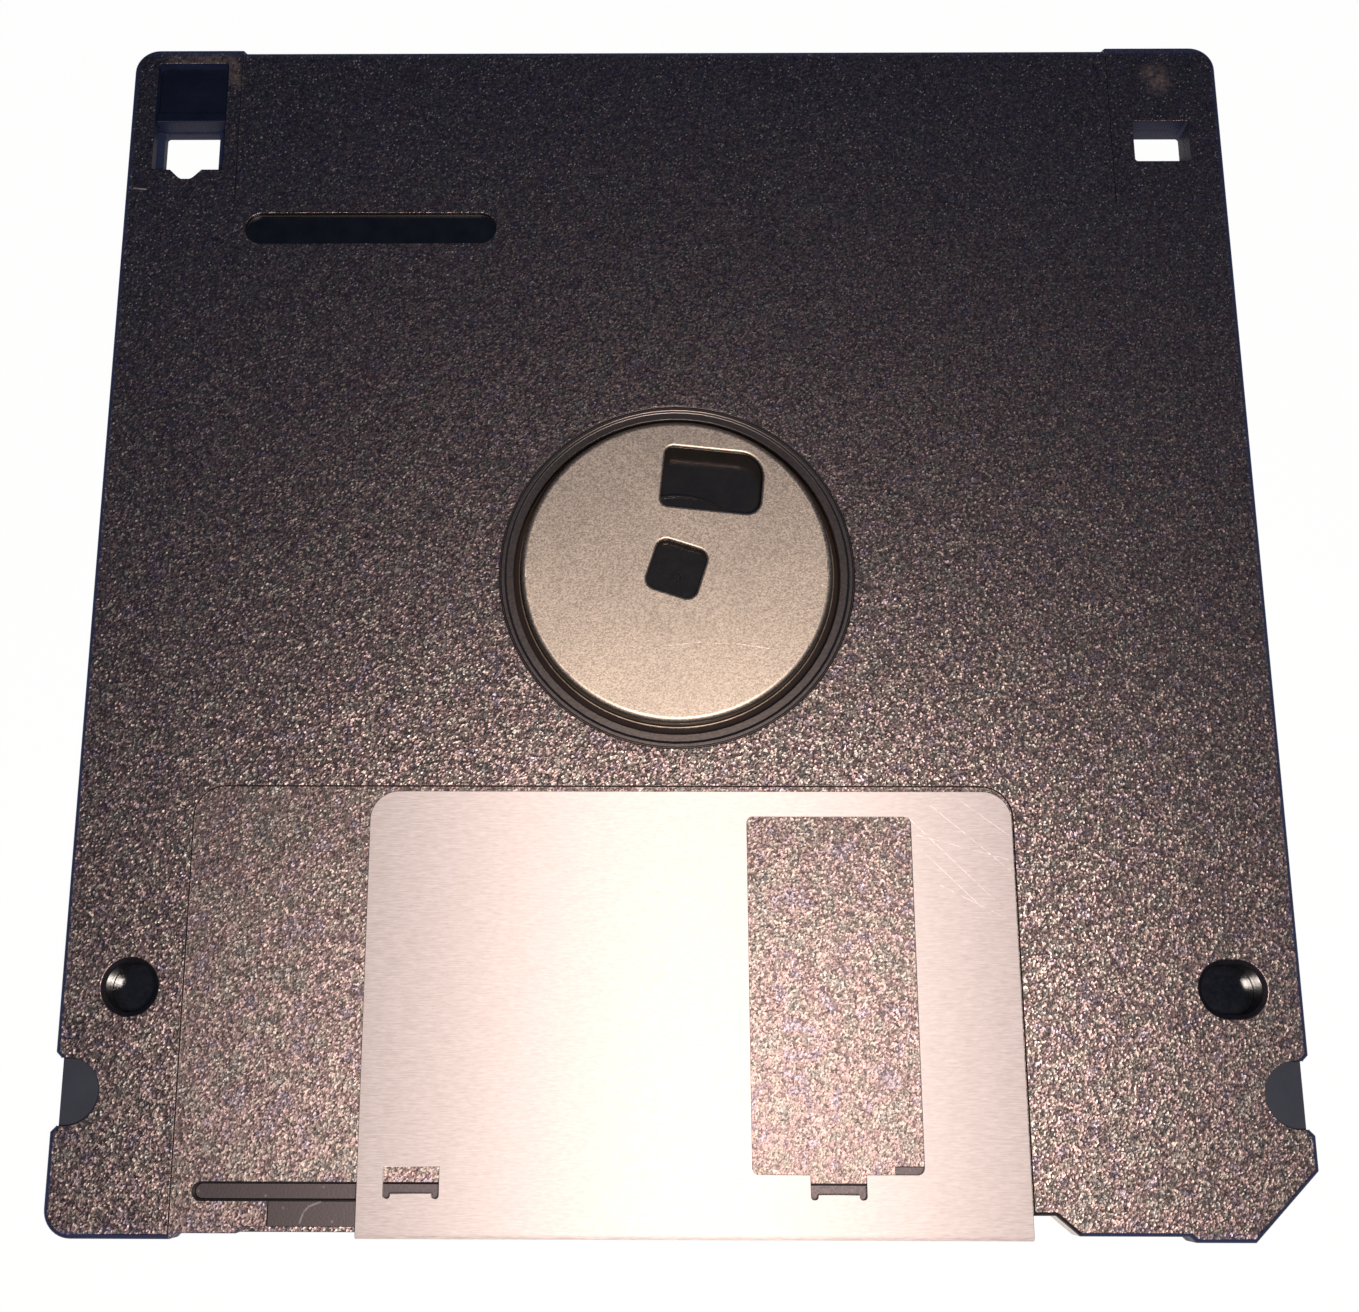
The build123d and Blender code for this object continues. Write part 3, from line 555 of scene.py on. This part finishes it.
# How far a face's normal is upright: a wall, a face with an eased rim, a level face
wall_lean = 0.3
top_lean = 0.9
level_lean = 0.98
case_low, case_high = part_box("rear_shell")
face_height = case_high.z
shutter_recess_height = face_height - 0.3 * mm
label_recess_height = face_height - 0.2 * mm
slot_depth = 0.4 * mm
hook_slot_height = 1.15 * mm
boss_reach = 6.9 * mm
edge_reach = 0.72 * mm
opening_y = 1.5 * mm
opening_rim_radius = 13.72 * mm
hole_corner = Vector((36, 33)) * mm
hole_far_side = 46.4 * mm
hole_step_height = 3.25 * mm
bevel_reach = 86.3 * mm
grip_corner = Vector((40.5, -28)) * mm
long_slot_end = 33.2 * mm
grained, worn, ledge, smooth, edge, hole, grip, glossy, boss = range(9)


def at_height(centre, *heights):
    return any(abs(centre.z - height) < same_height for height in heights)


def on_outline(centre):
    side = min(centre.x - case_low.x, case_high.x - centre.x)
    end = min(centre.y - case_low.y, case_high.y - centre.y)
    return side < edge_reach or end < edge_reach or centre.x - centre.y > bevel_reach


# Walls that the light from the table reaches, painted with its bluish light: the
# outline, the two through holes and the tab's pocket
def lit_wall(centre, normal):
    deep = abs(normal.z) < wall_lean or centre.z < hole_step_height
    if deep and abs(centre.x) > hole_corner.x and hole_corner.y < centre.y < hole_far_side:
        return hole
    return edge if abs(normal.z) < level_lean and on_outline(centre) else None


def rear_finish(centre, normal, corners):
    if all(hypot(corner.x, corner.y - opening_y) < opening_rim_radius for corner in corners):
        return ledge
    if normal.z > top_lean and at_height(centre, shutter_recess_height):
        return worn
    if normal.z > top_lean and at_height(centre, face_height, label_recess_height):
        return grained
    wall = lit_wall(centre, normal)
    if wall is not None:
        return wall
    if 0 < centre.y < long_slot_end:
        return glossy if normal.z > level_lean else smooth
    if abs(centre.x) > grip_corner.x and centre.y < grip_corner.y and normal.z > level_lean:
        return grip
    deep = abs(normal.z) < wall_lean and centre.z < face_height - slot_depth
    return glossy if deep else smooth


def front_finish(centre, normal, corners):
    if normal.z < -top_lean and centre.z < face_height - shutter_recess_height + same_height:
        return grained
    if normal.z > top_lean and at_height(centre, hook_slot_height):
        return grained
    if hypot(centre.x, centre.y - opening_y) < boss_reach:
        return boss
    wall = lit_wall(centre, normal)
    return glossy if wall is None else wall


plastics = (
    grained_plastic, worn_plastic, ledge_plastic, smooth_plastic, edge_plastic_painted_light,
    hole_wall_painted_light, grip_plastic, glossy_plastic, boss_plastic,
)
for node, finish in (("front_shell", front_finish), ("rear_shell", rear_finish)):
    shell = eased_copy(node, eased_edge)
    finish_faces(shell, plastics, finish)
    stands_for(shell, node, "case")


# Write-protect tab
# A smooth black slider, moulded in one, that clicks along its pocket. Its raised
# lip takes the fingernail and catches the light along its top edge.
tab_plastic = plain_finish(
    "tab_plastic",
    shades=((0.003, 0.004, 0.010), (0.005, 0.007, 0.016)),
    patch=2.0 * mm,
    roughness=(0.34, 0.46),
    fine=0.24 * mm,
    depth=0.006 * mm,
    Specular_IOR_Level=0.35,
    Specular_Tint=(0.62, 0.78, 1.0),
)
end_lean = 0.5
tab = eased_copy("write_protect_tab", eased_edge)


# The tab's end towards the shutter is a wall of the hole, and gets the hole walls' painted bluish light
def tab_finish(centre, normal, corners):
    return int(normal.y < -end_lean)


finish_faces(tab, (tab_plastic, hole_wall_painted_light), tab_finish)
stands_for(tab, "write_protect_tab", "write_protect_tab")


# Magnetic disc
# A thin polyester film with a dark brown magnetic coating, smooth and glossy,
# bonded to the hub's flange.
film = plain_finish(
    "magnetic_film",
    shades=((0.016, 0.010, 0.008), (0.022, 0.015, 0.011)),
    patch=16 * mm,
    roughness=(0.12, 0.18),
    fine=1.1 * mm,
    depth=0.002 * mm,
)
disc = eased_copy("magnetic_disc", 0)
disc.data.materials.append(film)
stands_for(disc, "magnetic_disc", "disc")


# Adhesive ring
# A thin ring of clear, slightly yellow adhesive, punched from sheet. It holds the
# film on the hub's flange.
glue = plain_finish(
    "adhesive",
    shades=((0.70, 0.66, 0.50), (0.80, 0.77, 0.64)),
    patch=1.4 * mm,
    roughness=(0.26, 0.34),
    fine=0.3 * mm,
    depth=0.002 * mm,
)
ring = eased_copy("hub_adhesive_ring", 0)
ring.data.materials.append(glue)
stands_for(ring, "hub_adhesive_ring", "disc")


# Hub
# Pressed from steel sheet with a satin rolled surface, a square hole for the
# spindle and a slot for the drive pin. The punched walls of the holes are brown,
# and chucking has left a few fine scratches.
hub_scratches = (
    ((4.5, -4.0), (5.6, -4.2)),
    ((5.6, -4.2), (7.0, -4.4)),
    ((-0.8, -4.2), (1.8, -3.9)),
    ((2.9, -4.0), (4.2, -4.0)),
)
hub_nicks = ((10.9, -2.1), (11.2, 0.6), (6.3, -1.0), (4.6, -2.9))
scratch_width = 0.035 * mm
scratch_faintest = 0.0
hub_nick_radius = 2.4 * scratch_width
hub_scratch_shade = (0.82, 0.74, 0.66)
hub_speck_size = 0.14 * mm
hub_speck_shades = ((0.32, 0.265, 0.215), (0.56, 0.485, 0.41))
hub_cloud_size = 4.2 * mm
hub_cloud_tones = ((0.90, 0.90, 0.91), (1.0, 0.99, 0.98))
hub_roughness = (0.42, 0.54)
hub_depth = 0.010 * mm
coarse = 0.7

hub_steel, tree, shader = new_material("hub_steel")
flat = laid_out(tree)
speck = noise(tree, flat, hub_speck_size, rich_detail, coarse)
shades = two_shades(tree, speck, hub_speck_shades, narrow_noise)
tone = two_shades(tree, noise(tree, flat, hub_cloud_size, rich_detail), hub_cloud_tones)
scratched = patchy_marks(
    tree, flat, hub_scratches, hub_nicks, scratch_width, hub_nick_radius, scratch_faintest
)
rolled = mixed(tree, 1.0, shades, tone, "MULTIPLY")
set_up(tree, shader, {
    "Metallic": 1.0,
    "Base Color": mixed(tree, scratched, rolled, hub_scratch_shade),
    "Roughness": spread(tree, speck, *usual_noise, *hub_roughness),
})
bump(tree, shader, speck, hub_depth)

torn_size = 0.3 * mm
torn_shades = ((0.20, 0.11, 0.07), (0.34, 0.21, 0.14))
torn_roughness = (0.34, 0.48)
torn_depth = 0.01 * mm
sheared_steel, tree, shader = new_material("hub_steel_sheared")
torn = noise(tree, laid_out(tree), torn_size, rich_detail)
set_up(tree, shader, {
    "Metallic": 1.0,
    "Base Color": two_shades(tree, torn, torn_shades),
    "Roughness": spread(tree, torn, *usual_noise, *torn_roughness),
})
bump(tree, shader, torn, torn_depth)

# The flange lies in the shade under the case, so it gets a darker steel: painted shade
flange_painted_shade_steel = plain_finish(
    "hub_steel_flange_painted_shade",
    shades=((0.10, 0.08, 0.066), (0.16, 0.13, 0.11)),
    patch=1.9 * mm,
    roughness=(0.38, 0.48),
    fine=0.2 * mm,
    depth=0.005 * mm,
    Metallic=1.0,
)

punched_wall = 0.35
punched_reach = 11.6 * mm
flange_reach = 1.8 * mm
hub_low, hub_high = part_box("hub")
hub_centre = (hub_low + hub_high) / 2
hub = eased_copy("hub", 0)


# The rolled face, the punched walls of its two holes, and the flange, darkened with painted shade
def hub_finish(centre, normal, corners):
    inside = hypot(centre.x - hub_centre.x, centre.y - hub_centre.y) < punched_reach
    if inside and abs(normal.z) < punched_wall:
        return 1
    return 2 if centre.z < flange_reach else 0


finish_faces(hub, (hub_steel, sheared_steel, flange_painted_shade_steel), hub_finish)
stands_for(hub, "hub", "disc")


# Liners
# Soft white non-woven fabric, cut as flat rings. They are glued inside both shells
# and wipe the disc as it turns.
fibre_size = 0.24 * mm
fibre_lean = 0.4
fibre_length = 4
fibre_detail = 4.0
fibre_shades = ((0.70, 0.70, 0.68), (0.88, 0.88, 0.86))
fleece_roughness = 0.95
fleece_depth = 0.06 * mm

fleece, tree, shader = new_material("liner_fabric")
fibres = noise(tree, laid_out(tree, fibre_lean, (1, fibre_length, 1)), fibre_size, fibre_detail, coarse)
set_up(tree, shader, {
    "Base Color": two_shades(tree, fibres, fibre_shades),
    "Roughness": fleece_roughness,
})
bump(tree, shader, fibres, fleece_depth)
for node in ("rear_liner", "front_liner"):
    liner = eased_copy(node, 0)
    liner.data.materials.append(fleece)
    stands_for(liner, node, "case")


# Liner lifter
# A strip of clear-grey plastic film in a bed of the front shell. It presses the
# front liner up against the disc.
lifter_film = plain_finish(
    "lifter_film",
    shades=((0.62, 0.64, 0.66), (0.72, 0.74, 0.76)),
    patch=3.3 * mm,
    roughness=(0.22, 0.28),
    fine=0.5 * mm,
    depth=0.002 * mm,
)
lifter = eased_copy("liner_lifter", 0)
lifter.data.materials.append(lifter_film)
stands_for(lifter, "liner_lifter", "case")


# Shutter
# One sheet of stainless steel, folded round the leading edge. It is brushed along
# the case's width, so a lamp draws a bright band across the brush lines, and use
# has left fine slanting scratches near its corner.
shutter_easing = 0.03 * mm
brush_line = 0.09 * mm
brush_length = 14
brush_shades = ((0.50, 0.450, 0.440), (0.66, 0.605, 0.595))
shutter_roughness = (0.60, 0.68)
brush_depth = 0.006 * mm
shutter_speck_size = 0.16 * mm
shutter_speck_length = 3
shutter_speck_tones = ((0.92, 0.91, 0.91), (1.0, 1.0, 1.0))
shutter_scratches = (
    ((16.9, -17.2), (23.5, -23.7)),
    ((18.7, -16.4), (24.4, -21.2)),
    ((17.9, -19.7), (22.4, -24.1)),
    ((21.0, -16.1), (24.4, -18.6)),
    ((17.6, -18.6), (24.3, -20.4)),
    ((19.2, -22.3), (23.8, -24.6)),
)
shutter_scratch_shade = (0.86, 0.80, 0.78)

shutter_steel, tree, shader = new_material("shutter_steel")
flat = laid_out(tree)
lines = noise(tree, laid_out(tree, 0, (brush_length, 1, 1)), brush_line, rich_detail, coarse)
speck = noise(tree, laid_out(tree, 0, (shutter_speck_length, 1, 1)), shutter_speck_size)
shades = two_shades(tree, lines, brush_shades, narrow_noise)
brushed = mixed(tree, 1.0, shades, two_shades(tree, speck, shutter_speck_tones), "MULTIPLY")
scratched = patchy_marks(
    tree, flat, shutter_scratches, (), scratch_width, scratch_width, scratch_faintest
)
across = tree.nodes.new("ShaderNodeTangent")
across.direction_type = "UV_MAP"
across.uv_map = "unfolded"
set_up(tree, shader, {
    "Metallic": 1.0,
    "Base Color": mixed(tree, scratched, brushed, shutter_scratch_shade),
    "Roughness": spread(tree, lines, *usual_noise, *shutter_roughness),
    "Anisotropic": 0.78,
    "Tangent": across.outputs["Tangent"],
})
bump(tree, shader, lines, brush_depth)
shutter = eased_copy("shutter", shutter_easing)
shutter.data.materials.append(shutter_steel)
unfolded = shutter.data.uv_layers.new(name="unfolded")
for loop in shutter.data.loops:
    corner = shutter.data.vertices[loop.vertex_index].co
    unfolded.data[loop.index].uv = (corner.y + corner.z, corner.x)
stands_for(shutter, "shutter", "shutter")


# Shutter spring
# A torsion spring, wound from bright wire. One leg sits in the corner of the case
# and the other pushes on the shutter's hook; the real spring bends as the shutter
# slides, and this one is made in one fixed shape.
wire_width = 0.38 * mm
coil_radius = 2.2 * mm
coil_pitch = 0.4 * mm
coil_middle = Vector((-32.4, -36.6, 1.42)) * mm
wire_seat = Vector((-40.36, -41.4)) * mm
wire_tip = Vector((-22.73, -41.75)) * mm
points_a_turn = 48
sides_of_wire = 16


def touch_angle(point, side):
    away = hypot(point.x - coil_middle.x, point.y - coil_middle.y)
    bearing = atan2(point.y - coil_middle.y, point.x - coil_middle.x)
    return bearing + side * acos(coil_radius / away)


def on_coil(angle, height):
    return coil_middle + Vector((coil_radius * cos(angle), coil_radius * sin(angle), height))


first_angle = touch_angle(wire_tip, 1)
wound = (touch_angle(wire_seat, -1) - first_angle) % (2 * pi) + 2 * pi
rise = coil_pitch * wound / (2 * pi)
first_end = on_coil(first_angle, 0)
last_end = on_coil(first_angle + wound, rise)

spring_wire = plain_finish(
    "spring_wire",
    shades=((0.50, 0.50, 0.51), (0.62, 0.62, 0.63)),
    patch=0.9 * mm,
    roughness=(0.24, 0.32),
    fine=0.3 * mm,
    depth=0.003 * mm,
    Metallic=1.0,
)

winding = bpy.data.node_groups.new("wound_wire", "GeometryNodeTree")
winding.interface.new_socket("Wire", in_out="OUTPUT", socket_type="NodeSocketGeometry")
sizes = {
    "Turns": ("Float", wound / (2 * pi)),
    "Coil Radius": ("Float", coil_radius),
    "Rise": ("Float", rise),
    "Wire Radius": ("Float", wire_width / 2),
    "Coil Middle": ("Vector", coil_middle),
    "First Angle": ("Vector", (0, 0, first_angle)),
    "First End": ("Vector", first_end),
    "Last End": ("Vector", last_end),
    "Tip": ("Vector", (*wire_tip, first_end.z)),
    "Seat": ("Vector", (*wire_seat, last_end.z)),
}
sockets = {}
for name, (kind, _) in sizes.items():
    socket = winding.interface.new_socket(name, in_out="INPUT", socket_type=f"NodeSocket{kind}")
    sockets[name] = socket.identifier
given = winding.nodes.new("NodeGroupInput").outputs
made = winding.nodes.new("NodeGroupOutput")
spiral = winding.nodes.new("GeometryNodeCurveSpiral")
spiral.inputs["Resolution"].default_value = points_a_turn
link(winding, given["Turns"], spiral.inputs["Rotations"])
link(winding, given["Coil Radius"], spiral.inputs["Start Radius"])
link(winding, given["Coil Radius"], spiral.inputs["End Radius"])
link(winding, given["Rise"], spiral.inputs["Height"])
placed = winding.nodes.new("GeometryNodeTransform")
link(winding, spiral.outputs["Curve"], placed.inputs["Geometry"])
link(winding, given["Coil Middle"], placed.inputs["Translation"])
link(winding, given["First Angle"], placed.inputs["Rotation"])
joined = winding.nodes.new("GeometryNodeJoinGeometry")
link(winding, placed.outputs["Geometry"], joined.inputs["Geometry"])
for start, end in (("First End", "Tip"), ("Last End", "Seat")):
    leg = winding.nodes.new("GeometryNodeCurvePrimitiveLine")
    link(winding, given[start], leg.inputs["Start"])
    link(winding, given[end], leg.inputs["End"])
    link(winding, leg.outputs["Curve"], joined.inputs["Geometry"])
section = winding.nodes.new("GeometryNodeCurvePrimitiveCircle")
section.inputs["Resolution"].default_value = sides_of_wire
link(winding, given["Wire Radius"], section.inputs["Radius"])
drawn = winding.nodes.new("GeometryNodeCurveToMesh")
drawn.inputs["Fill Caps"].default_value = True
link(winding, joined.outputs["Geometry"], drawn.inputs["Curve"])
link(winding, section.outputs["Curve"], drawn.inputs["Profile Curve"])
rounded = winding.nodes.new("GeometryNodeSetShadeSmooth")
link(winding, drawn.outputs["Mesh"], rounded.inputs["Geometry"])
real = winding.nodes.new("GeometryNodeRealizeInstances")
link(winding, rounded.outputs["Geometry"], real.inputs["Geometry"])
coated = winding.nodes.new("GeometryNodeSetMaterial")
coated.inputs["Material"].default_value = spring_wire
link(winding, real.outputs["Geometry"], coated.inputs["Geometry"])
link(winding, coated.outputs["Geometry"], made.inputs["Wire"])

spring = bpy.data.objects.new("shutter_spring_finished", bpy.data.meshes.new("shutter_spring_finished"))
bpy.context.scene.collection.objects.link(spring)
wound_up = spring.modifiers.new("wound wire", "NODES")
wound_up.node_group = winding
for name, (_, size) in sizes.items():
    wound_up[sockets[name]] = size
bpy.context.view_layer.update()
seen = spring.evaluated_get(bpy.context.evaluated_depsgraph_get())
wire = bpy.data.meshes.new_from_object(seen)
spring.modifiers.clear()
spring.data = wire
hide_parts("shutter_spring")
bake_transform(spring)
